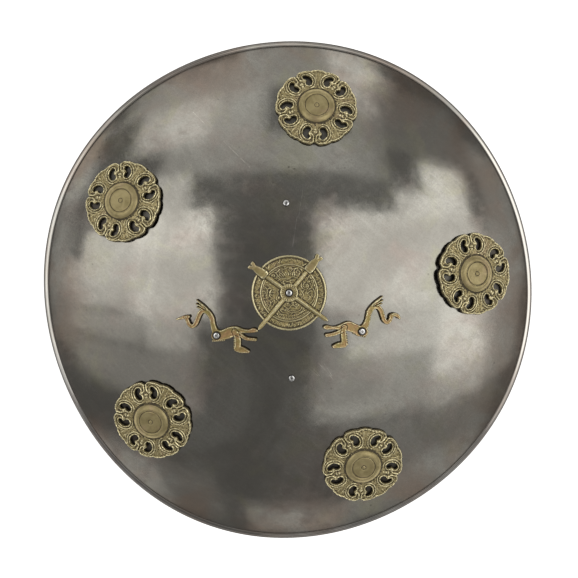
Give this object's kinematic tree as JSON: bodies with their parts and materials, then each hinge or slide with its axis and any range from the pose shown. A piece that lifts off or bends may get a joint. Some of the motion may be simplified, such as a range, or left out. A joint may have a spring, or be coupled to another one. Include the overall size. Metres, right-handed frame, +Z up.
{
  "type": "buckler shield",
  "caption": "Round domed steel shield with a turned-down rim, pierced brass rosettes, a round badge with crossed swords, long-necked brass beasts and a strap grip inside.",
  "frame": {"origin": "on the ground under the middle of the rim", "axes": "the shield lies on its rim with the dome up: +Z is up, +Y points to the top of the shield as it is carried and +X to the right as seen from its front"},
  "size_m": [0.4454, 0.454, 0.0731],
  "materials": {
    "plate_steel": "dark satin steel with a patchy grey-brown bloom, faint rubbing marks and small pits",
    "grip_steel": "dark mill-scaled flat bar",
    "rosette_brass": "aged cast brass, olive and dull, bright along its worn edges and dark in its hollows",
    "badge_brass": "aged cast brass, dark in its relief",
    "beast_brass": "reddish cast brass, yellow along its worn edges",
    "rivet_steel": "bright smooth steel with a dark hole in each head"
  },
  "bodies": {
    "root": {"shield_plate": "plate_steel", "grip": "grip_steel", "rosette_right": "rosette_brass", "rosette_top": "rosette_brass", "rosette_left": "rosette_brass", "rosette_lower_left": "rosette_brass", "rosette_lower_right": "rosette_brass", "sword_badge": "badge_brass", "beast_left": "beast_brass", "beast_right": "beast_brass", "rivet_badge": "rivet_steel", "rivet_beast_left": "rivet_steel", "rivet_beast_right": "rivet_steel", "rivet_grip_top": "rivet_steel", "rivet_grip_bottom": "rivet_steel"}
  },
  "joints": []
}
